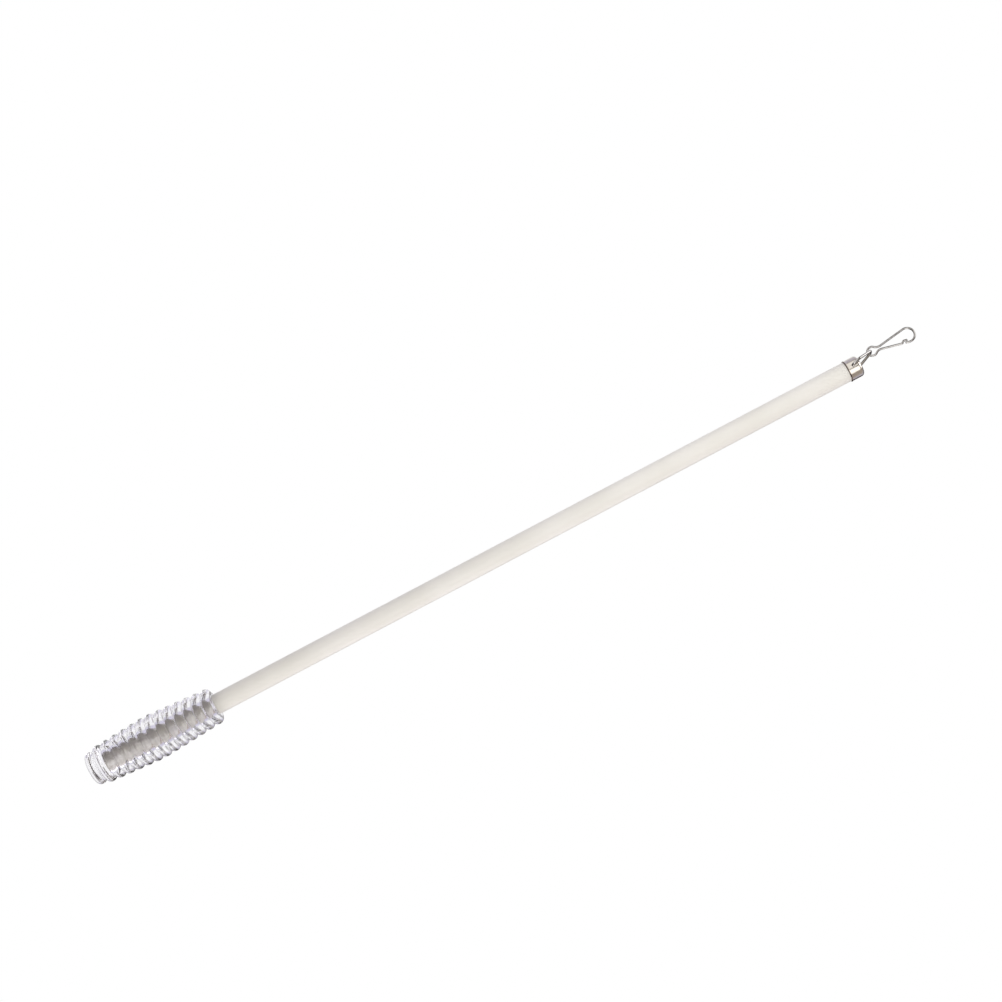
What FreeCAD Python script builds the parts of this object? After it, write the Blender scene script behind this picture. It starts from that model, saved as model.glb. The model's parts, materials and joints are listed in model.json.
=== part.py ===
import FreeCAD, Part
import math
import os

from FreeCAD import Placement, Rotation, Vector

# Rod: an extruded plastic tube
rod_diameter = 11.0
rod_wall = 1.2
rod_length = 455.5

# Grip: a clear moulded handle, thickest in the middle and ringed with round beads
grip_length = 75.6
grip_bead_count = 14
grip_end_length = 2.7
grip_groove_depth = 1.5
grip_groove_radius = 0.45
grip_base_round = 2.6
grip_top_round = 2.0
grip_middle_diameter = 25.4
grip_top_diameter = 20.0
grip_base_diameter = 20.2
grip_end_bead_diameter = 18.7
grip_floor = 8.0
grip_floor_gap = 0.1
grip_bore_clearance = 0.15
grip_mouth_chamfer = 0.4

# Ferrule: a drawn metal cap over the top of the rod, with a rolled rim
ferrule_length = 8.0
ferrule_wall = 0.3
ferrule_clearance = 0.05
ferrule_corner_radius = 1.8
ferrule_rim_width = 0.2
ferrule_rim_height = 0.7

# Cross holes for the bail, through the ferrule and the rod, measured from the ferrule's closed end
hole_depth = 4.3
hole_clearance = 0.1

# Bail: a wire loop whose bent-in ends turn in the cross holes
bail_wire = 1.5
bail_height = 13.2
bail_pin_reach = 1.3
bail_side_gap = 0.1
bail_bend_radius = 1.2
bail_shoulder_height = 5.0
bail_shoulder_radius = 3.0
bail_crown_width = 3.6
bail_crown_radius = 1.5
bail_lean = 16.0

# Snap hook: one bent spring wire, eye below, crown above, gate jogged to put its tip inside the nose
hook_wire = 1.2
hook_length = 28.4
hook_crown_width = 9.2
hook_eye_width = 6.3
hook_neck_gap = 0.8
hook_neck_height = 8.3
hook_neck_radius = 4.0
hook_nose_length = 2.0
hook_gate_gap = 0.15
hook_gate_overlap = 1.5
hook_jog_radius = 1.2
hook_jog_lead = 0.2
hook_lean = 3.0
link_gap = 0.2

# Rounding of cut wire ends, as a share of the wire's radius
wire_end_round = 0.7

# Radii that several pieces share
rod_radius = rod_diameter / 2
rod_bore_radius = rod_radius - rod_wall
ferrule_bore_radius = rod_radius + ferrule_clearance
ferrule_radius = ferrule_bore_radius + ferrule_wall
bail_wire_radius = bail_wire / 2
hole_radius = bail_wire_radius + hole_clearance
hook_wire_radius = hook_wire / 2

# Heights on the wand, from the base of the grip
rod_bottom = grip_floor + grip_floor_gap
rod_top = rod_bottom + rod_length
ferrule_top = rod_top + ferrule_corner_radius
ferrule_rim = ferrule_top - ferrule_length
pivot_height = ferrule_top - hole_depth

# The grip's beads: one arc for the crest and one for the groove fill each half pitch
bead_pitch = (grip_length - 2 * grip_end_length) / (grip_bead_count - 1)
bead_half_pitch = bead_pitch / 2
bead_and_groove = (bead_half_pitch ** 2 + grip_groove_depth ** 2) / (2 * grip_groove_depth)
bead_radius = bead_and_groove - grip_groove_radius

# The hook's two rings, with the crown's centre at zero
crown_radius = hook_crown_width / 2 - hook_wire_radius
eye_radius = hook_eye_width / 2 - hook_wire_radius
eye_drop = hook_length - hook_crown_width / 2 - hook_eye_width / 2
neck_drop = hook_length - hook_crown_width / 2 - hook_neck_height
bearing_rise = crown_radius - hook_wire_radius
link_drop = eye_drop + eye_radius - hook_wire_radius - link_gap - bail_wire_radius

# Where the pieces hang: the crown's inside top at the origin, the link and the pivot below it
across = Vector(0, 1, 0)
hook_turn = Rotation(across, hook_lean)
bail_turn = Rotation(across, -bail_lean)
link_point = hook_turn.multVec(Vector(0, 0, -bearing_rise - link_drop))
pivot_point = link_point - bail_turn.multVec(Vector(0, 0, bail_height))
wand_base = pivot_point - Vector(0, 0, pivot_height)


def line(start, end):
    return Part.LineSegment(start, end).toShape()


def arc(start, middle, end):
    return Part.Arc(start, middle, end).toShape()


def arc_about(centre, start, end):
    # The arc of less than half a turn from start to end
    spoke = (start - centre).normalize() + (end - centre).normalize()
    middle = centre + spoke.normalize() * (start - centre).Length
    return arc(start, middle, end)


def turned(edges):
    # A closed half section in the XZ plane, turned about the Z axis
    section = Part.Face(Part.Wire(edges))
    return section.revolve(Vector(0, 0, 0), Vector(0, 0, 1), 360)


def bent_wire(edges, radius):
    # A round wire along tangent lines and arcs, with its two cut ends rounded
    path = Part.Wire(edges)
    start = edges[0].Vertexes[0].Point
    end = edges[-1].Vertexes[-1].Point
    section = Part.Wire(Part.makeCircle(radius, start, edges[0].tangentAt(edges[0].FirstParameter)))
    wire = path.makePipeShell([section], True, False)
    rings = [edge for edge in wire.Edges if edge.isClosed()]
    tips = [ring for ring in rings for tip in (start, end) if ring.CenterOfMass.isEqual(tip, radius)]
    return wire.makeFillet(radius * wire_end_round, tips)


def rounded_run(corners, radii):
    # Straight runs through the corners, each inner corner replaced by a tangent arc
    edges = []
    start = corners[0]
    for before, corner, after, radius in zip(corners, corners[1:], corners[2:], radii):
        back = (before - corner).normalize()
        ahead = (after - corner).normalize()
        half_angle = back.getAngle(ahead) / 2
        reach = radius / math.tan(half_angle)
        inward = (back + ahead).normalize()
        centre = corner + inward * (radius / math.sin(half_angle))
        entry = corner + back * reach
        leave = corner + ahead * reach
        edges.append(line(start, entry))
        edges.append(arc(entry, centre - inward * radius, leave))
        start = leave
    edges.append(line(start, corners[-1]))
    return edges


def bead_crest(index):
    # Height and radius of a bead's crest: two straight tapers, and a smaller bead at the base
    height = grip_end_length + index * bead_pitch
    middle = grip_length / 2
    end_diameter = grip_top_diameter if height > middle else grip_base_diameter
    share = abs(height - middle) / middle
    diameter = grip_middle_diameter + (end_diameter - grip_middle_diameter) * share
    if index == 0:
        diameter = grip_end_bead_diameter
    return Vector(diameter / 2, 0, height)


def groove_between(lower, upper):
    # The small concave arc that touches two neighbouring beads from outside
    gap = upper - lower
    rise = math.sqrt(bead_and_groove ** 2 - (gap.Length / 2) ** 2)
    centre = (lower + upper) / 2 + across.cross(gap).normalize() * rise
    touch_lower = lower + (centre - lower).normalize() * bead_radius
    touch_upper = upper + (centre - upper).normalize() * bead_radius
    return centre, touch_lower, touch_upper


def end_arc_radius(drop):
    # Radius of the arc from an end bead's crest to the grip's end face, where it has lost the drop
    return (grip_end_length ** 2 + drop ** 2) / (2 * drop)


def make_grip():
    crests = [bead_crest(index) for index in range(grip_bead_count)]
    beads = [crest - Vector(bead_radius, 0, 0) for crest in crests]
    base_edge = Vector(crests[0].x - grip_base_round, 0, 0)
    top_edge = Vector(crests[-1].x - grip_top_round, 0, grip_length)
    base_centre = crests[0] - Vector(end_arc_radius(grip_base_round), 0, 0)
    top_centre = crests[-1] - Vector(end_arc_radius(grip_top_round), 0, 0)
    edges = [line(Vector(0, 0, 0), base_edge)]
    edges.append(arc_about(base_centre, base_edge, crests[0]))
    start = crests[0]
    for lower, upper in zip(beads, beads[1:]):
        groove, touch_lower, touch_upper = groove_between(lower, upper)
        edges.append(arc_about(lower, start, touch_lower))
        edges.append(arc_about(groove, touch_lower, touch_upper))
        start = touch_upper
    edges.append(arc_about(beads[-1], start, crests[-1]))
    edges.append(arc_about(top_centre, crests[-1], top_edge))
    bore_radius = rod_radius + grip_bore_clearance
    corners = [
        top_edge,
        Vector(bore_radius + grip_mouth_chamfer, 0, grip_length),
        Vector(bore_radius, 0, grip_length - grip_mouth_chamfer),
        Vector(bore_radius, 0, grip_floor),
        Vector(0, 0, grip_floor),
        Vector(0, 0, 0),
    ]
    edges += [line(near, far) for near, far in zip(corners, corners[1:])]
    return turned(edges)


def cross_hole():
    # One drill through both walls, along Y at the pivot's height
    drill_length = ferrule_radius * 4
    start = Vector(0, -drill_length / 2, pivot_height)
    return Part.makeCylinder(hole_radius, drill_length, start, across)


def make_rod():
    base = Vector(0, 0, rod_bottom)
    tube = Part.makeCylinder(rod_radius, rod_length, base)
    bore = Part.makeCylinder(rod_bore_radius, rod_length, base)
    return tube.cut(bore).cut(cross_hole())


def make_ferrule():
    inner_top = ferrule_top - ferrule_wall
    flat_radius = ferrule_radius - ferrule_corner_radius
    corner = Vector(flat_radius, 0, rod_top)
    rim_top = ferrule_rim + ferrule_rim_height
    rim_middle = Vector(ferrule_radius + ferrule_rim_width, 0, ferrule_rim + ferrule_rim_height / 2)
    edges = [
        line(Vector(ferrule_bore_radius, 0, ferrule_rim), Vector(ferrule_radius, 0, ferrule_rim)),
        arc(Vector(ferrule_radius, 0, ferrule_rim), rim_middle, Vector(ferrule_radius, 0, rim_top)),
        line(Vector(ferrule_radius, 0, rim_top), Vector(ferrule_radius, 0, rod_top)),
        arc_about(corner, Vector(ferrule_radius, 0, rod_top), Vector(flat_radius, 0, ferrule_top)),
        line(Vector(flat_radius, 0, ferrule_top), Vector(0, 0, ferrule_top)),
        line(Vector(0, 0, ferrule_top), Vector(0, 0, inner_top)),
        line(Vector(0, 0, inner_top), Vector(flat_radius, 0, inner_top)),
        arc_about(corner, Vector(flat_radius, 0, inner_top), Vector(ferrule_bore_radius, 0, rod_top)),
        line(Vector(ferrule_bore_radius, 0, rod_top), Vector(ferrule_bore_radius, 0, ferrule_rim)),
    ]
    return turned(edges).cut(cross_hole())


def make_bail():
    # Pivot at zero: pin, leg, shoulder and half the crown on one side, mirrored on the other
    pin_tip = rod_bore_radius - bail_pin_reach
    leg = ferrule_radius + bail_side_gap + bail_bend_radius
    crown = bail_crown_width / 2
    half = [
        Vector(0, pin_tip, 0),
        Vector(0, leg, 0),
        Vector(0, leg, bail_shoulder_height),
        Vector(0, crown, bail_height),
    ]
    mirrored = [Vector(0, -point.y, point.z) for point in reversed(half)]
    half_radii = [bail_bend_radius, bail_shoulder_radius, bail_crown_radius]
    return bent_wire(rounded_run(half + mirrored, half_radii + half_radii[::-1]), bail_wire_radius)


def hook_side(side):
    # One straight run from the crown, past the neck, to the eye.
    # It returns the run's directions, both its ends, the neck arc's centre and its touch on the eye.
    neck_half = (hook_neck_gap + hook_wire) / 2
    lean = math.asin(crown_radius / math.hypot(neck_half, neck_drop)) - math.atan2(neck_half, neck_drop)
    outward = Vector(side * math.cos(lean), 0, -math.sin(lean))
    down = Vector(-side * math.sin(lean), 0, -math.cos(lean))
    eye_centre = Vector(0, 0, -eye_drop)
    offset = crown_radius + hook_neck_radius
    reach = eye_radius + hook_neck_radius
    run = eye_drop * math.cos(lean) - math.sqrt(reach ** 2 - (offset - eye_drop * math.sin(lean)) ** 2)
    neck_centre = outward * offset + down * run
    top = outward * crown_radius
    bottom = top + down * run
    touch = eye_centre + (neck_centre - eye_centre) * (eye_radius / reach)
    return outward, down, top, bottom, neck_centre, touch


def jogged_gate(outward, down, nose_tip, bottom):
    # The gate runs in line with the nose, then steps inside it by two equal bends and lies along it
    step = hook_wire + hook_gate_gap
    jog_angle = math.acos(1 - step / (2 * hook_jog_radius))
    inner_end = nose_tip + down * hook_jog_lead - outward * step
    outer_end = inner_end + outward * step + down * (2 * hook_jog_radius * math.sin(jog_angle))
    middle = (inner_end + outer_end) / 2
    tip = inner_end - down * (hook_jog_lead + hook_gate_overlap)
    return [
        line(bottom, outer_end),
        arc_about(outer_end - outward * hook_jog_radius, outer_end, middle),
        arc_about(inner_end + outward * hook_jog_radius, middle, inner_end),
        line(inner_end, tip),
    ]


def make_snap_hook():
    # From the nose tip over the crown, down the spine, round the eye and up the gate
    _, _, spine_top, spine_bottom, spine_neck, spine_touch = hook_side(-1)
    outward, down, nose_top, gate_bottom, gate_neck, gate_touch = hook_side(1)
    nose_tip = nose_top + down * hook_nose_length
    edges = [
        line(nose_tip, nose_top),
        arc(nose_top, Vector(0, 0, crown_radius), spine_top),
        line(spine_top, spine_bottom),
        arc_about(spine_neck, spine_bottom, spine_touch),
        arc(spine_touch, Vector(0, 0, -eye_drop - eye_radius), gate_touch),
        arc_about(gate_neck, gate_touch, gate_bottom),
    ]
    edges += jogged_gate(outward, down, nose_tip, gate_bottom)
    hook = bent_wire(edges, hook_wire_radius)
    hook.translate(Vector(0, 0, -bearing_rise))
    return hook


placements = {
    "grip": Placement(wand_base, Rotation()),
    "rod": Placement(wand_base, Rotation()),
    "ferrule": Placement(wand_base, Rotation()),
    "bail": Placement(pivot_point, bail_turn),
    "snap_hook": Placement(Vector(0, 0, 0), hook_turn),
}
shapes = {
    "grip": make_grip(),
    "rod": make_rod(),
    "ferrule": make_ferrule(),
    "bail": make_bail(),
    "snap_hook": make_snap_hook(),
}

os.makedirs("parts", exist_ok=True)
for name, shape in shapes.items():
    shape.Placement = placements[name].multiply(shape.Placement)
    shape.exportStep("parts/" + name + ".step")
    print(name, "valid", shape.isValid(), "solids", len(shape.Solids), "volume", round(shape.Volume, 2))
print("link", link_point, "pivot", pivot_point, "wand base", wand_base)
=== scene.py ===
import json
import math

import bmesh
import bpy
from mathutils import Matrix, Vector


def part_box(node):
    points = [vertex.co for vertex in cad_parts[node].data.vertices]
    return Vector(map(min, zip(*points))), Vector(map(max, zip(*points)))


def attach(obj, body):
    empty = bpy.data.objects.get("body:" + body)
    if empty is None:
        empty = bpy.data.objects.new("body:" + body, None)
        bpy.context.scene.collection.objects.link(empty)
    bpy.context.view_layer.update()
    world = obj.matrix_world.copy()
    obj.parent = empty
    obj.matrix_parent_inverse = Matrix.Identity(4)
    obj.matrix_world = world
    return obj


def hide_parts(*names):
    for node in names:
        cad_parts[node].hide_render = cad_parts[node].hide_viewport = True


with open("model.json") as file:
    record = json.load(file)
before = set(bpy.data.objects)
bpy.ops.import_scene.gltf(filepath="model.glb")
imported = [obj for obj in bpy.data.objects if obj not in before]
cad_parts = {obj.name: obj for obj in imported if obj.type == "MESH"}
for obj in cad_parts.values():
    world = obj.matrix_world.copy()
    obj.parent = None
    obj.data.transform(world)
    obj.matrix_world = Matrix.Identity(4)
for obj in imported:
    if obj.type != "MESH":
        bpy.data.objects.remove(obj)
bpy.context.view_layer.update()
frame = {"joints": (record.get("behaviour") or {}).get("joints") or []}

scene = bpy.context.scene
mm = 0.001  # the pieces are drawn in millimetres and placed in metres
mergeGap = 0.0001  # vertices closer than this, in millimetres, are one

# where the pieces hang, from the frame's joints and boxes
jointAt = {joint["name"]: Vector(joint["pos_m"]) / mm for joint in frame["joints"]}
linkPoint = jointAt["hook_link"]
pivotPoint = jointAt["bail_pivot"]
hookLean = math.atan2(-linkPoint.x, -linkPoint.z)
bailLean = math.atan2(linkPoint.x - pivotPoint.x, linkPoint.z - pivotPoint.z)
wandBase = Vector((pivotPoint.x, 0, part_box("grip")[0].z / mm))
acrossAxis = Vector((0, 1, 0))
upAxis = Vector((0, 0, 1))


def heightOnWand(node, corner):  # height of a node's low or high face above the wand's base
    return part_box(node)[corner].z / mm - wandBase.z


def linearColour(hexCode):  # sRGB hex to linear, with full alpha
    parts = [int(hexCode[i:i + 2], 16) / 255 for i in (1, 3, 5)]
    return [p / 12.92 if p <= 0.04045 else ((p + 0.055) / 1.055) ** 2.4 for p in parts] + [1]


def patternScale(sizeMm):  # a texture's scale from the real size of its pattern
    return 1 / (sizeMm * mm)


# one node with its settings, values and links; i0, i1 and so on mean a socket by its number,
# and a colour Mix has its two colours at i6 and i7 and its result at output 2
def addNode(tree, kind, settings=None, **inputs):
    node = tree.nodes.new(kind)
    for name, value in (settings or {}).items():
        setattr(node, name, value)
    for name, value in inputs.items():
        numbered = name[0] == "i" and name[1:].isdigit()
        socket = node.inputs[int(name[1:]) if numbered else name.replace("_", " ")]
        if isinstance(value, bpy.types.NodeSocket):
            tree.links.new(value, socket)
        else:
            socket.default_value = value
    return node


def newMaterial(name):
    material = bpy.data.materials.new(name)
    material.use_nodes = True
    tree = material.node_tree
    tree.nodes.clear()
    shader = addNode(tree, "ShaderNodeBsdfPrincipled")
    addNode(tree, "ShaderNodeOutputMaterial", Surface=shader.outputs["BSDF"])
    coords = addNode(tree, "ShaderNodeTexCoord").outputs["Object"]
    return material, tree, shader, coords


def setRamp(node, stops):  # colour ramp stops as (position, hex)
    ramp = node.color_ramp
    while len(ramp.elements) < len(stops):
        ramp.elements.new(0.5)
    for element, (position, hexCode) in zip(ramp.elements, stops):
        element.position = position
        element.color = linearColour(hexCode)
    return node.outputs["Color"]


def finishSurface(tree, shader, look, sheen, relief):  # one pattern varies the roughness, one the height
    smooth, dull = look["roughness"]
    roughness = addNode(tree, "ShaderNodeMapRange", Value=sheen, To_Min=smooth, To_Max=dull)
    tree.links.new(roughness.outputs["Result"], shader.inputs["Roughness"])
    bump = addNode(
        tree, "ShaderNodeBump", Height=relief, Strength=look["bumpStrength"], Distance=look["bumpMm"] * mm
    )
    tree.links.new(bump.outputs["Normal"], shader.inputs["Normal"])


# clear acrylic, injection moulded: glassy, faint flow lines and a cool cast where light runs a long way in it
def clearAcrylic():
    look = {
        "tint": [(0.35, "#ffffff"), (0.75, "#f5f4fc")], "flowMm": 6.0, "rippleMm": 1.6,
        "roughness": (0.0, 0.05), "bumpStrength": 0.08, "bumpMm": 0.05, "ior": 1.49,
    }
    material, tree, shader, coords = newMaterial("moulded_clear_acrylic")
    flow = addNode(tree, "ShaderNodeTexNoise", Vector=coords, Scale=patternScale(look["flowMm"]), Detail=2.0)
    tint = setRamp(addNode(tree, "ShaderNodeValToRGB", Fac=flow.outputs["Fac"]), look["tint"])
    tree.links.new(tint, shader.inputs["Base Color"])
    ripple = addNode(
        tree, "ShaderNodeTexNoise", Vector=coords, Scale=patternScale(look["rippleMm"]), Detail=1.0
    ).outputs["Fac"]
    finishSurface(tree, shader, look, ripple, ripple)
    shader.inputs["IOR"].default_value = look["ior"]
    shader.inputs["Transmission Weight"].default_value = 1.0
    return material


# ivory rigid plastic, extruded: satin, with faint draw lines along its length and slow changes of tone
def ivoryPlastic():
    look = {
        "tone": [(0.3, "#e8e6df"), (0.7, "#efede8")], "toneMm": 40.0,
        "drawLineMm": 0.8, "drawRunMm": 60.0,  # real lines are finer; this coarse, they show
        "roughness": (0.34, 0.46), "bumpStrength": 0.12, "bumpMm": 0.03, "ior": 1.53,
        # painted shade and painted light for the rod inside the grip: a ramp from shaded to lit, the lit
        # side's turn, and caustic-like streaks
        "shadeAndLightRamp": [(0.3, "#d4cfc7"), (0.45, "#dcd7cf"), (0.57, "#fdfaf2"), (0.8, "#fffcf5")],
        "litSide": 17.8,  # in degrees from +X
        "radiusMm": 5.5, "runMm": 0.8, "spreadMm": 9.0, "paintedStreak": 1.3,
        "paintedShadeFadeMm": (2.0, 1.0),  # below the grip's mouth
    }
    material, tree, shader, coords = newMaterial("extruded_ivory_plastic")
    tone = addNode(tree, "ShaderNodeTexNoise", Vector=coords, Scale=patternScale(look["toneMm"]), Detail=3.0)
    bare = setRamp(addNode(tree, "ShaderNodeValToRGB", Fac=tone.outputs["Fac"]), look["tone"])
    # inside the grip the rod is painted with light and shade: painted shade greys the side away from the
    # light, and painted light in caustic-like streaks brightens the lit side
    turn = math.radians(look["litSide"])
    litSide = Vector((math.cos(turn), math.sin(turn), 0))
    side = addNode(tree, "ShaderNodeVectorMath", {"operation": "DOT_PRODUCT"}, i0=coords, i1=litSide)
    axisAt = wandBase.dot(litSide) * mm
    reach = look["radiusMm"] * mm
    litShare = addNode(
        tree, "ShaderNodeMapRange",
        Value=side.outputs["Value"], From_Min=axisAt - reach, From_Max=axisAt + reach,
    )
    wide, fine = patternScale(look["spreadMm"]), patternScale(look["runMm"])
    drawn = addNode(tree, "ShaderNodeMapping", Vector=coords, Scale=(wide, wide, fine))
    paintedStreakNoise = addNode(tree, "ShaderNodeTexNoise", Vector=drawn.outputs["Vector"], Scale=1.0, Detail=2.0)
    paintedStreak = addNode(
        tree, "ShaderNodeMath", {"operation": "MULTIPLY_ADD"},
        i0=paintedStreakNoise.outputs["Fac"], i1=look["paintedStreak"], i2=-look["paintedStreak"] / 2,
    )
    shadeAndLight = addNode(
        tree, "ShaderNodeMath", {"operation": "ADD"}, i0=litShare.outputs["Result"], i1=paintedStreak.outputs["Value"]
    )
    # painted shade away from the light, painted light in streaks on the lit side
    paintedShadeAndLight = setRamp(addNode(tree, "ShaderNodeValToRGB", Fac=shadeAndLight.outputs["Value"]), look["shadeAndLightRamp"])
    height = addNode(tree, "ShaderNodeSeparateXYZ", Vector=coords).outputs["Z"]
    deep, shallow = [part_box("grip")[1].z - depth * mm for depth in look["paintedShadeFadeMm"]]
    outside = addNode(tree, "ShaderNodeMapRange", Value=height, From_Min=deep, From_Max=shallow)
    colour = addNode(
        tree, "ShaderNodeMix", {"data_type": "RGBA"}, i0=outside.outputs["Result"], i6=paintedShadeAndLight, i7=bare
    ).outputs[2]
    tree.links.new(colour, shader.inputs["Base Color"])
    across, along = patternScale(look["drawLineMm"]), patternScale(look["drawRunMm"])
    stretched = addNode(tree, "ShaderNodeMapping", Vector=coords, Scale=(across, across, along))
    drawLines = addNode(
        tree, "ShaderNodeTexNoise", Vector=stretched.outputs["Vector"], Scale=1.0, Detail=2.0
    ).outputs["Fac"]
    finishSurface(tree, shader, look, drawLines, drawLines)
    shader.inputs["IOR"].default_value = look["ior"]
    return material


# bright nickel on a drawn steel cap: warm mirror with polishing rings round it and a little bloom
def nickelCap():
    look = {
        "plate": [(0.35, "#dcd7cf"), (0.75, "#c9c2b8")], "bloomMm": 3.0,
        "ringMm": 0.6, "ringRunMm": 6.0,  # real rings are finer; this coarse, they show
        "roughness": (0.1, 0.26), "bumpStrength": 0.1, "bumpMm": 0.01,
        # painted shade along the rolled rim at the cap's mouth
        "paintedRimShade": "#6a5c54", "rimShadeFadeMm": (0.45, 0.75),  # above the cap's mouth
    }
    material, tree, shader, coords = newMaterial("polished_nickel_cap")
    bloom = addNode(
        tree, "ShaderNodeTexNoise", Vector=coords, Scale=patternScale(look["bloomMm"]), Detail=3.0
    ).outputs["Fac"]
    plate = setRamp(addNode(tree, "ShaderNodeValToRGB", Fac=bloom), look["plate"])
    # painted shade: the rolled rim at the cap's mouth, where it meets the rod, is painted dark
    height = addNode(tree, "ShaderNodeSeparateXYZ", Vector=coords).outputs["Z"]
    rimShadeFull, rimShadeGone = [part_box("ferrule")[0].z + rise * mm for rise in look["rimShadeFadeMm"]]
    outOfRimShade = addNode(tree, "ShaderNodeMapRange", Value=height, From_Min=rimShadeFull, From_Max=rimShadeGone)
    colour = addNode(
        tree, "ShaderNodeMix", {"data_type": "RGBA"},
        i0=outOfRimShade.outputs["Result"], i6=linearColour(look["paintedRimShade"]), i7=plate,
    ).outputs[2]
    tree.links.new(colour, shader.inputs["Base Color"])
    around, upwards = patternScale(look["ringRunMm"]), patternScale(look["ringMm"])
    stretched = addNode(tree, "ShaderNodeMapping", Vector=coords, Scale=(around, around, upwards))
    rings = addNode(
        tree, "ShaderNodeTexNoise", Vector=stretched.outputs["Vector"], Scale=1.0, Detail=2.0
    ).outputs["Fac"]
    finishSurface(tree, shader, look, rings, rings)
    shader.inputs["Metallic"].default_value = 1.0
    return material


# bright nickel on drawn spring wire: a harder mirror with fine pits and rubbed patches
def nickelWire():
    look = {
        "plate": [(0.35, "#bebcb9"), (0.7, "#9c9a97")], "patchMm": 2.2,
        "pitMm": 0.6,  # real pits are finer; this coarse, they show
        "roughness": (0.06, 0.2), "bumpStrength": 0.1, "bumpMm": 0.01,
    }
    material, tree, shader, coords = newMaterial("drawn_nickel_wire")
    patch = addNode(
        tree, "ShaderNodeTexNoise", Vector=coords, Scale=patternScale(look["patchMm"]), Detail=2.0
    ).outputs["Fac"]
    plate = setRamp(addNode(tree, "ShaderNodeValToRGB", Fac=patch), look["plate"])
    tree.links.new(plate, shader.inputs["Base Color"])
    pits = addNode(tree, "ShaderNodeTexNoise", Vector=coords, Scale=patternScale(look["pitMm"]), Detail=1.0)
    finishSurface(tree, shader, look, patch, pits.outputs["Fac"])
    shader.inputs["Metallic"].default_value = 1.0
    return material


materials = {
    "acrylic": clearAcrylic(),
    "ivory": ivoryPlastic(),
    "cap": nickelCap(),
    "wire": nickelWire(),
}
print("materials made:", ", ".join(material.name for material in materials.values()))


# straight and round stretches: both are spin, of one vertex for a profile or of a ring for a wire
def pull(bm, tip, offset):
    made = bmesh.ops.spin(bm, geom=tip, cent=(0, 0, 0), axis=upAxis, dvec=offset, angle=0, steps=1)
    return made["geom_last"]


def swing(bm, tip, centre, axis, angle, steps):
    made = bmesh.ops.spin(bm, geom=tip, cent=centre, axis=axis, dvec=(0, 0, 0), angle=angle, steps=steps)
    return made["geom_last"]


class Profile:  # a half section in the XZ plane, drawn from point to point
    def __init__(self, bm, x, z):
        self.bm = bm
        self.tip = bm.verts.new((x, 0, z))

    def goOnFrom(self, made):  # the last vertex made is the next start
        self.tip = next(part for part in made if isinstance(part, bmesh.types.BMVert))

    def lineTo(self, x, z):
        offset = Vector((x, 0, z)) - self.tip.co
        self.goOnFrom(pull(self.bm, [self.tip], offset))

    def arcTo(self, centreX, centreZ, x, z, steps):
        centre = Vector((centreX, 0, centreZ))
        spoke, goal = self.tip.co - centre, Vector((x, 0, z)) - centre
        angle = math.atan2(goal.x, goal.z) - math.atan2(spoke.x, spoke.z)
        angle = (angle + math.pi) % (2 * math.pi) - math.pi
        self.goOnFrom(swing(self.bm, [self.tip], centre, acrossAxis, angle, steps))


def turnProfile(bm, steps):  # the half section goes once round the wand's axis
    bmesh.ops.spin(
        bm, geom=bm.verts[:] + bm.edges[:], cent=(0, 0, 0), axis=upAxis,
        angle=2 * math.pi, steps=steps, use_merge=True,
    )


wireMesh = {"ringSegments": 24, "degreesPerStep": 7, "fewestSteps": 3, "tipSegments": 4}


def bendWire(bm, wire, start, heading, normal, moves):
    # a wire-bender's list: ("run", length) or ("bend", radius, angle), left turns about normal are positive
    place = Matrix.Translation(start) @ heading.to_track_quat("Z", "Y").to_matrix().to_4x4()
    ring = bmesh.ops.create_circle(
        bm, cap_ends=False, radius=wire["wireRadius"], segments=wireMesh["ringSegments"], matrix=place
    )["verts"]
    firstRing = bm.edges[:]
    tip = ring + firstRing
    at, heading = Vector(start), heading.normalized()
    for move in moves:
        if move[0] == "run":
            tip = pull(bm, tip, heading * move[1])
            at = at + heading * move[1]
            continue
        bendRadius, angle = move[1:]
        side = normal.cross(heading) * (1 if angle > 0 else -1)
        centre = at + side * bendRadius
        turn = Matrix.Rotation(angle, 3, normal)
        steps = math.ceil(abs(angle) / math.radians(wireMesh["degreesPerStep"]))
        tip = swing(bm, tip, centre, normal, angle, max(wireMesh["fewestSteps"], steps))
        at = centre + turn @ (at - centre)
        heading = turn @ heading
    lastRing = [edge for edge in tip if isinstance(edge, bmesh.types.BMEdge)]
    for endRing in (firstRing, lastRing):
        bmesh.ops.edgeloop_fill(bm, edges=endRing)
    bmesh.ops.bevel(
        bm, geom=firstRing + lastRing, offset=wire["wireRadius"] * wire["tipRound"], offset_type="OFFSET",
        affect="EDGES", segments=wireMesh["tipSegments"], profile=0.5, material=-1,
    )


def drillHoles(piece, cutter):  # the bail's cross holes, cut and applied
    cut = piece.modifiers.new("crossHoles", "BOOLEAN")
    cut.operation = "DIFFERENCE"
    cut.solver = "EXACT"
    cut.object = cutter
    evaluated = piece.evaluated_get(bpy.context.evaluated_depsgraph_get())
    drilled = bpy.data.meshes.new_from_object(evaluated)
    piece.modifiers.clear()
    piece.data = drilled


def makePiece(name, bm, place, material):  # merge, face outwards, place in metres
    bmesh.ops.remove_doubles(bm, verts=bm.verts, dist=mergeGap)
    bmesh.ops.recalc_face_normals(bm, faces=bm.faces)
    bmesh.ops.transform(bm, matrix=Matrix.Scale(mm, 4) @ place, verts=bm.verts)
    mesh = bpy.data.meshes.new(name)
    bm.to_mesh(mesh)
    bm.free()
    piece = bpy.data.objects.new(name, mesh)
    scene.collection.objects.link(piece)
    mesh.materials.append(material)
    return piece


def smoothPiece(piece, sharpDegrees):
    piece.data.shade_smooth()
    piece.data.set_sharp_from_angle(angle=math.radians(sharpDegrees))


def dressNode(piece, node, body):  # the piece stands for its solid and moves with it
    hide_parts(node)
    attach(piece, body)
    print(piece.name, "made:", len(piece.data.polygons), "faces")


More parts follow.
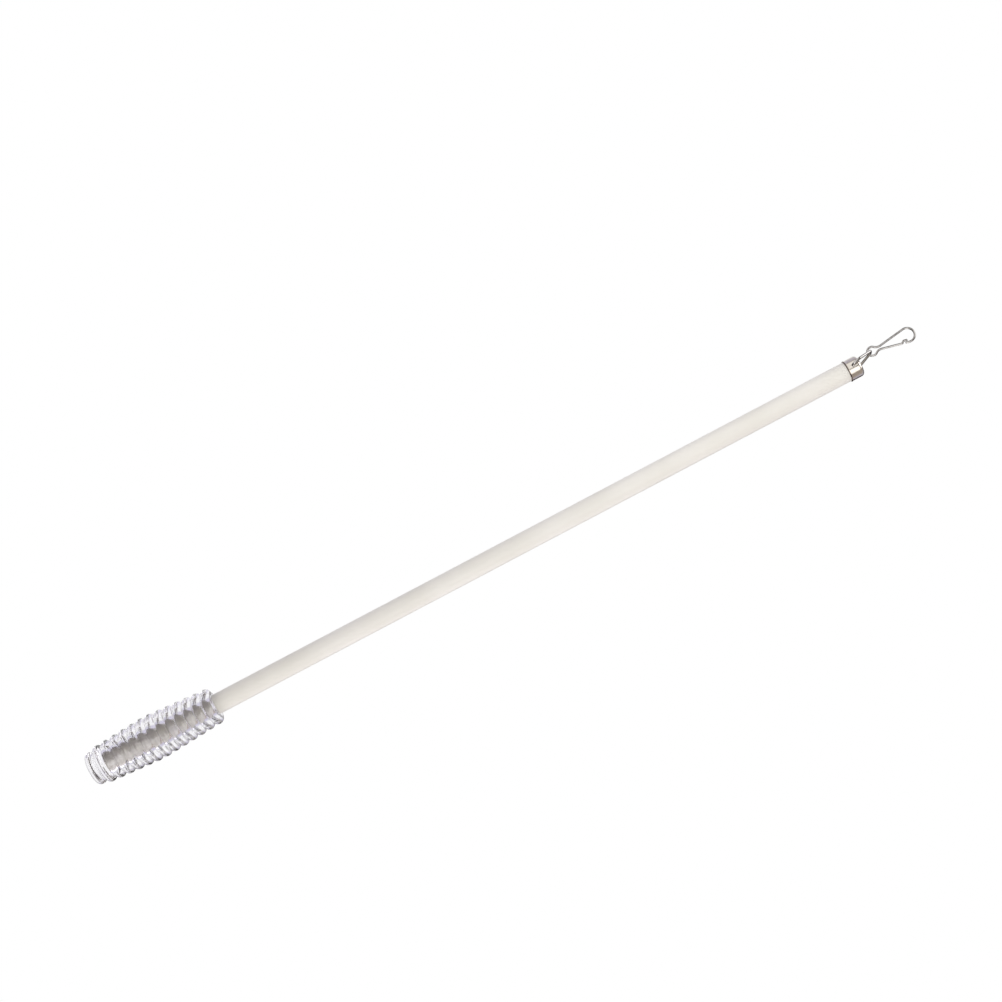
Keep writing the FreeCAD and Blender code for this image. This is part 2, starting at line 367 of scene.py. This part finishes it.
onWand = Matrix.Translation(wandBase)

# rod: the extruded tube, its two cut ends slightly eased
rod = {
    "radius": 5.5, "wall": 1.2, "easedEdge": 0.15, "drilledEnd": 10.0,
    "edgeSteps": 4, "turns": 96, "sharpDegrees": 40,
}


def makeRod():
    low, high = heightOnWand("rod", 0), heightOnWand("rod", 1)
    outer, inner, ease = rod["radius"], rod["radius"] - rod["wall"], rod["easedEdge"]
    drilledFrom = high - rod["drilledEnd"]  # the holes cut only the short faces beyond this ring
    bm = bmesh.new()
    section = Profile(bm, inner, low)
    section.lineTo(outer - ease, low)
    section.arcTo(outer - ease, low + ease, outer, low + ease, rod["edgeSteps"])
    section.lineTo(outer, drilledFrom)
    section.lineTo(outer, high - ease)
    section.arcTo(outer - ease, high - ease, outer - ease, high, rod["edgeSteps"])
    section.lineTo(inner, high)
    section.lineTo(inner, drilledFrom)
    section.lineTo(inner, low)
    turnProfile(bm, rod["turns"])
    return makePiece("ivoryRod", bm, onWand, materials["ivory"])


# ferrule: the drawn cap with its rolled rim
ferrule = {
    "bore": 5.55, "wall": 0.3, "corner": 1.8, "rimWidth": 0.2, "rimHeight": 0.7,
    "rimSteps": 10, "cornerSteps": 14, "insideSteps": 10, "turns": 96, "sharpDegrees": 40,
}


def makeFerrule():
    low, high = heightOnWand("ferrule", 0), heightOnWand("ferrule", 1)
    bore, outer = ferrule["bore"], ferrule["bore"] + ferrule["wall"]
    flat, shoulder = outer - ferrule["corner"], high - ferrule["corner"]
    rimHalf, rimOut = ferrule["rimHeight"] / 2, ferrule["rimWidth"]
    rimRadius = (rimHalf ** 2 + rimOut ** 2) / (2 * rimOut)
    bm = bmesh.new()
    section = Profile(bm, bore, low)
    section.lineTo(outer, low)
    section.arcTo(outer + rimOut - rimRadius, low + rimHalf, outer, low + 2 * rimHalf, ferrule["rimSteps"])
    section.lineTo(outer, shoulder)
    section.arcTo(flat, shoulder, flat, high, ferrule["cornerSteps"])
    section.lineTo(0, high)
    section.lineTo(0, high - ferrule["wall"])
    section.lineTo(flat, high - ferrule["wall"])
    section.arcTo(flat, shoulder, bore, shoulder, ferrule["insideSteps"])
    section.lineTo(bore, low)
    turnProfile(bm, ferrule["turns"])
    return makePiece("nickelFerrule", bm, onWand, materials["cap"])


# grip: round beads on two straight tapers, closed below and bored for the rod from above
grip = {
    "beads": 14, "endLength": 2.7, "grooveDepth": 1.5, "grooveRadius": 0.45,
    "baseRound": 2.6, "topRound": 2.0, "middle": 25.4, "top": 20.0, "base": 20.2, "endBead": 18.7,
    "bore": 5.65, "floor": 8.0, "mouth": 0.4,
    "beadSteps": 10, "grooveSteps": 6, "turns": 144, "sharpDegrees": 50,
}


def beadPitch(length):
    return (length - 2 * grip["endLength"]) / (grip["beads"] - 1)


def endArc(drop):  # radius of the arc from an end bead's crest to the end face
    return (grip["endLength"] ** 2 + drop ** 2) / (2 * drop)


def beadCrest(index, length):  # radius and height of one bead's crest
    height = grip["endLength"] + index * beadPitch(length)
    end = grip["top"] if height > length / 2 else grip["base"]
    share = abs(height - length / 2) / (length / 2)
    diameter = grip["middle"] + (end - grip["middle"]) * share
    return Vector(((grip["endBead"] if index == 0 else diameter) / 2, 0, height))


def makeGrip():
    length = heightOnWand("grip", 1)
    halfPitch = beadPitch(length) / 2
    reach = (halfPitch ** 2 + grip["grooveDepth"] ** 2) / (2 * grip["grooveDepth"])
    beadRadius = reach - grip["grooveRadius"]
    crests = [beadCrest(index, length) for index in range(grip["beads"])]
    centres = [crest - Vector((beadRadius, 0, 0)) for crest in crests]
    first, last, steps = crests[0], crests[-1], grip["beadSteps"]
    bm = bmesh.new()
    section = Profile(bm, 0, 0)
    section.lineTo(first.x - grip["baseRound"], 0)
    section.arcTo(first.x - endArc(grip["baseRound"]), first.z, first.x, first.z, steps)
    for lower, upper in zip(centres, centres[1:]):
        gap = upper - lower
        outward = acrossAxis.cross(gap).normalized()
        groove = (lower + upper) / 2 + outward * math.sqrt(reach ** 2 - (gap.length / 2) ** 2)
        leave = lower + (groove - lower) * (beadRadius / reach)
        enter = upper + (groove - upper) * (beadRadius / reach)
        section.arcTo(lower.x, lower.z, leave.x, leave.z, steps)
        section.arcTo(groove.x, groove.z, enter.x, enter.z, grip["grooveSteps"])
        section.arcTo(upper.x, upper.z, upper.x + beadRadius, upper.z, steps)
    section.arcTo(last.x - endArc(grip["topRound"]), last.z, last.x - grip["topRound"], length, steps)
    section.lineTo(grip["bore"] + grip["mouth"], length)
    section.lineTo(grip["bore"], length - grip["mouth"])
    section.lineTo(grip["bore"], grip["floor"])
    section.lineTo(0, grip["floor"])
    turnProfile(bm, grip["turns"])
    return makePiece("clearGrip", bm, onWand, materials["acrylic"])


# bail: pins, legs and a short crown bar, one left-handed bend after another in the YZ plane
bail = {
    "wireRadius": 0.75, "pinTip": 3.0, "leg": 7.15, "bend": 1.2, "shoulder": 5.0, "shoulderBend": 3.0,
    "crownHalf": 1.8, "crownBend": 1.5, "tipRound": 0.7, "sharpDegrees": 60,
}


def makeBail():
    height = (linkPoint - pivotPoint).length
    taper = math.atan2(bail["leg"] - bail["crownHalf"], height - bail["shoulder"])
    shoulderReach = bail["shoulderBend"] * math.tan(taper / 2)
    crownTurn = math.pi / 2 - taper
    crownReach = bail["crownBend"] * math.tan(crownTurn / 2)
    slant = math.hypot(bail["leg"] - bail["crownHalf"], height - bail["shoulder"])
    half = [
        ("run", bail["leg"] - bail["bend"] - bail["pinTip"]),
        ("bend", bail["bend"], math.pi / 2),
        ("run", bail["shoulder"] - bail["bend"] - shoulderReach),
        ("bend", bail["shoulderBend"], taper),
        ("run", slant - shoulderReach - crownReach),
        ("bend", bail["crownBend"], crownTurn),
    ]
    moves = half + [("run", 2 * (bail["crownHalf"] - crownReach))] + half[::-1]
    bm = bmesh.new()
    bendWire(bm, bail, Vector((0, bail["pinTip"], 0)), acrossAxis, Vector((1, 0, 0)), moves)
    place = Matrix.Translation(pivotPoint) @ Matrix.Rotation(bailLean, 4, acrossAxis)
    return makePiece("wireBail", bm, place, materials["wire"])


# snap hook: nose, crown, spine, neck, eye, neck and jogged gate, bent from one wire in the XZ plane
hook = {
    "wireRadius": 0.6, "length": 28.4, "crown": 4.6, "eye": 3.15,
    "neckGap": 0.8, "neckHeight": 8.3, "neckBend": 4.0, "nose": 2.0, "gateGap": 0.15, "gateOverlap": 1.5,
    "jogBend": 1.2, "jogLead": 0.2, "tipRound": 0.7, "sharpDegrees": 60,
}


def makeHook():
    wire = hook["wireRadius"]
    crownRadius, eyeRadius = hook["crown"] - wire, hook["eye"] - wire
    eyeDrop = hook["length"] - hook["crown"] - hook["eye"]
    neckDrop = hook["length"] - hook["crown"] - hook["neckHeight"]
    neckHalf = hook["neckGap"] / 2 + wire
    # both straight runs lean alike, from the crown past the neck to the eye
    lean = math.asin(crownRadius / math.hypot(neckHalf, neckDrop)) - math.atan2(neckHalf, neckDrop)
    offset, reach = crownRadius + hook["neckBend"], eyeRadius + hook["neckBend"]
    run = eyeDrop * math.cos(lean) - math.sqrt(reach ** 2 - (offset - eyeDrop * math.sin(lean)) ** 2)
    neckX = offset * math.cos(lean) - run * math.sin(lean)
    neckZ = eyeDrop - offset * math.sin(lean) - run * math.cos(lean)
    onEye = math.atan2(neckZ, neckX)
    # the gate's jog takes its tip one wire and a gap inside the nose
    jogTurn = math.acos(1 - (2 * wire + hook["gateGap"]) / (2 * hook["jogBend"]))
    jogLength = 2 * hook["jogBend"] * math.sin(jogTurn)
    upNose = Vector((math.sin(lean), 0, math.cos(lean)))
    noseTop = Vector((math.cos(lean), 0, -math.sin(lean))) * crownRadius
    moves = [
        ("run", hook["nose"]),
        ("bend", crownRadius, math.pi + 2 * lean),
        ("run", run),
        ("bend", hook["neckBend"], -lean - onEye),
        ("bend", eyeRadius, math.pi + 2 * onEye),
        ("bend", hook["neckBend"], -lean - onEye),
        ("run", run - hook["nose"] - hook["jogLead"] - jogLength),
        ("bend", hook["jogBend"], jogTurn),
        ("bend", hook["jogBend"], -jogTurn),
        ("run", hook["jogLead"] + hook["gateOverlap"]),
    ]
    bm = bmesh.new()
    bendWire(bm, hook, noseTop - upNose * hook["nose"], upNose, -acrossAxis, moves)
    bearing = Matrix.Translation((0, 0, wire - crownRadius))
    return makePiece("snapHook", bm, Matrix.Rotation(hookLean, 4, acrossAxis) @ bearing, materials["wire"])


holeCutter = {"radius": 0.85, "length": 20.0, "segments": 32}


def makeCutter():  # one drill through both walls of the cap and the tube
    bm = bmesh.new()
    aim = Matrix.Translation(pivotPoint) @ Matrix.Rotation(math.pi / 2, 4, "X")
    bmesh.ops.create_cone(
        bm, cap_ends=True, segments=holeCutter["segments"], radius1=holeCutter["radius"],
        radius2=holeCutter["radius"], depth=holeCutter["length"],
    )
    return makePiece("drill", bm, aim, materials["ivory"])


drill = makeCutter()
ivoryRod, nickelFerrule = makeRod(), makeFerrule()
for drilledPiece in (ivoryRod, nickelFerrule):
    drillHoles(drilledPiece, drill)
bpy.data.objects.remove(drill)
clearGrip, wireBail, snapHook = makeGrip(), makeBail(), makeHook()

smoothPiece(ivoryRod, rod["sharpDegrees"])
smoothPiece(nickelFerrule, ferrule["sharpDegrees"])
smoothPiece(clearGrip, grip["sharpDegrees"])
smoothPiece(wireBail, bail["sharpDegrees"])
smoothPiece(snapHook, hook["sharpDegrees"])
dressNode(ivoryRod, "rod", "wand")
dressNode(nickelFerrule, "ferrule", "wand")
dressNode(clearGrip, "grip", "wand")
dressNode(wireBail, "bail", "bail")
dressNode(snapHook, "snap_hook", "hook")

# camera: level with the rod and rolled, so that the wand runs from lower left to upper right
photo = {
    "size": 1002, "mmPerPixel": 0.5357, "focalPixels": 2087, "azimuth": 17.8, "sensorMm": 36,
    "gripBase": (91.5, 770.2), "along": (0.8845, -0.4665),  # a pixel, and the rod's direction from it
}


def makeCamera():
    half = photo["size"] / 2
    alongX, alongY = photo["along"]
    fromBase = (half - photo["gripBase"][0], half - photo["gripBase"][1])
    rise = fromBase[0] * alongX + fromBase[1] * alongY  # along the rod, in pixels
    aside = -fromBase[0] * alongY + fromBase[1] * alongX  # to its lower right
    azimuth = math.radians(photo["azimuth"])
    back = Vector((math.sin(azimuth), -math.cos(azimuth), 0))
    sideways = Vector((math.cos(azimuth), math.sin(azimuth), 0))
    right = upAxis * alongX - sideways * alongY
    up = -upAxis * alongY - sideways * alongX
    target = wandBase + (upAxis * rise + sideways * aside) * photo["mmPerPixel"]
    distance = photo["focalPixels"] * photo["mmPerPixel"]
    data = bpy.data.cameras.new("photoCamera")
    data.sensor_width = photo["sensorMm"]
    data.lens = photo["focalPixels"] / photo["size"] * data.sensor_width
    camera = bpy.data.objects.new("photoCamera", data)
    scene.collection.objects.link(camera)
    turn = Matrix((right, up, back)).transposed().to_4x4()
    camera.matrix_world = Matrix.Translation((target + back * distance) * mm) @ turn
    scene.camera = camera
    return back, sideways


back, sideways = makeCamera()
print("camera placed")

# stage: a pale round floor below the hanging wand
floorLook = {
    "drop": 420.0, "radius": 900.0, "segments": 96, "colour": "#ffffff", "roughness": 0.9, "glow": 0.35,
}


def makeFloor():
    bm = bmesh.new()
    bmesh.ops.create_circle(bm, cap_ends=True, radius=floorLook["radius"], segments=floorLook["segments"])
    place = Matrix.Translation(wandBase - upAxis * floorLook["drop"])
    material, _, shader, _ = newMaterial("pale_floor")
    shader.inputs["Base Color"].default_value = linearColour(floorLook["colour"])
    shader.inputs["Roughness"].default_value = floorLook["roughness"]
    shader.inputs["Emission Color"].default_value = linearColour(floorLook["colour"])
    shader.inputs["Emission Strength"].default_value = floorLook["glow"]
    floor = makePiece("paleFloor", bm, place, material)
    floor.visible_glossy = False  # the metal and the clear grip show the room, not the floor's glow
    floor.visible_transmission = False


makeFloor()
print("floor laid")

# light: walls by their turn from the camera, in degrees to its lower right, and by their height
room = {
    "walls": [
        (-180, "#ffffff"), (-141, "#ffffff"), (-129, "#d8d5e2"), (-102, "#d8d4e6"), (-80, "#a8a4a0"),
        (-60, "#908b86"), (40, "#908b86"), (50, "#b8aea6"), (95, "#b8aea6"),
        (112, "#d2cee4"), (129, "#d8d5e2"), (141, "#ffffff"), (180, "#ffffff"),
    ],
    "heights": [
        (-1.0, "#3a3836"), (-0.6, "#8a8684"), (-0.35, "#ffffff"), (0.5, "#ffffff"), (0.95, "#e4e0dc"),
    ],
    "edge": "#4a4440", "edgeFrom": 120, "edgeFull": 135,
    "backdrop": "#ffffff", "level": 0.97,
}


def makeWorld():
    world = bpy.data.worlds.new("studio")
    scene.world = world
    world.use_nodes = True
    tree = world.node_tree
    tree.nodes.clear()
    coords = addNode(tree, "ShaderNodeTexCoord").outputs["Generated"]
    dotBack = addNode(tree, "ShaderNodeVectorMath", {"operation": "DOT_PRODUCT"}, i0=coords, i1=back)
    dotSide = addNode(tree, "ShaderNodeVectorMath", {"operation": "DOT_PRODUCT"}, i0=coords, i1=sideways)
    turn = addNode(
        tree, "ShaderNodeMath", {"operation": "ARCTAN2"},
        i0=dotSide.outputs["Value"], i1=dotBack.outputs["Value"],
    ).outputs["Value"]
    turnShare = addNode(tree, "ShaderNodeMapRange", Value=turn, From_Min=-math.pi, From_Max=math.pi)
    wallStops = [((degrees + 180) / 360, tone) for degrees, tone in room["walls"]]
    walls = setRamp(addNode(tree, "ShaderNodeValToRGB", Fac=turnShare.outputs["Result"]), wallStops)
    rise = addNode(tree, "ShaderNodeSeparateXYZ", Vector=coords).outputs["Z"]
    riseShare = addNode(tree, "ShaderNodeMapRange", Value=rise, From_Min=-1.0, From_Max=1.0)
    heightStops = [((height + 1) / 2, tone) for height, tone in room["heights"]]
    heights = setRamp(addNode(tree, "ShaderNodeValToRGB", Fac=riseShare.outputs["Result"]), heightStops)
    rays = addNode(tree, "ShaderNodeLightPath").outputs
    opaque = addNode(
        tree, "ShaderNodeMath", {"operation": "SUBTRACT"}, i0=1.0, i1=rays["Is Transmission Ray"]
    ).outputs["Value"]
    shaded = addNode(
        tree, "ShaderNodeMix", {"data_type": "RGBA", "blend_type": "MULTIPLY"},
        i0=opaque, i6=walls, i7=heights,
    ).outputs[2]
    # a dark table edge behind, which only reflections show
    edge = addNode(
        tree, "ShaderNodeMapRange", Value=turn,
        From_Min=math.radians(room["edgeFrom"]), From_Max=math.radians(room["edgeFull"]),
    )
    bounced = addNode(tree, "ShaderNodeMath", {"operation": "MULTIPLY"}, i0=opaque, i1=rays["Is Glossy Ray"])
    mirrored = addNode(
        tree, "ShaderNodeMath", {"operation": "MULTIPLY"},
        i0=edge.outputs["Result"], i1=bounced.outputs["Value"],
    )
    edged = addNode(
        tree, "ShaderNodeMix", {"data_type": "RGBA"},
        i0=mirrored.outputs["Value"], i6=shaded, i7=linearColour(room["edge"]),
    ).outputs[2]
    # the camera itself sees a plain backdrop at full level
    seen = addNode(
        tree, "ShaderNodeMix", {"data_type": "RGBA"},
        i0=rays["Is Camera Ray"], i6=edged, i7=linearColour(room["backdrop"]),
    ).outputs[2]
    strength = addNode(
        tree, "ShaderNodeMath", {"operation": "MULTIPLY_ADD"},
        i0=rays["Is Camera Ray"], i1=1 - room["level"], i2=room["level"],
    )
    sky = addNode(tree, "ShaderNodeBackground", Color=seen, Strength=strength.outputs["Value"])
    addNode(tree, "ShaderNodeOutputWorld", Surface=sky.outputs["Background"])


# soft boxes: the height on the wand that they face, their place beside and before it, and their size
softBoxes = [
    {"name": "windowBox", "aim": 300, "aside": 560, "towards": 1400, "rise": 0, "size": 1600, "watts": 10.1},
    {"name": "tipBox", "aim": 430, "aside": -205, "towards": 440, "rise": 0, "size": 340, "watts": 0.31},
    {"name": "lowCard", "aim": 220, "aside": 700, "towards": -100, "rise": 0, "size": 600, "watts": 1.3},
    {"name": "tipCard", "aim": 400, "aside": -225, "towards": 130, "rise": 0, "size": 290, "watts": 0.18},
    {"name": "topCard", "aim": 467, "aside": -44, "towards": 214, "rise": 665, "size": 700, "watts": 2.85},
]


def makeLights():
    for box in softBoxes:
        aim = wandBase + upAxis * box["aim"]
        place = aim + sideways * box["aside"] + back * box["towards"] + upAxis * box["rise"]
        data = bpy.data.lights.new(box["name"], "AREA")
        data.shape = "DISK"
        data.size = box["size"] * mm
        data.energy = box["watts"]
        light = bpy.data.objects.new(box["name"], data)
        scene.collection.objects.link(light)
        aimTurn = (aim - place).to_track_quat("-Z", "Y").to_matrix().to_4x4()
        light.matrix_world = Matrix.Translation(place * mm) @ aimTurn


makeWorld()
makeLights()
scene.view_settings.view_transform = "Standard"
print("studio lit")
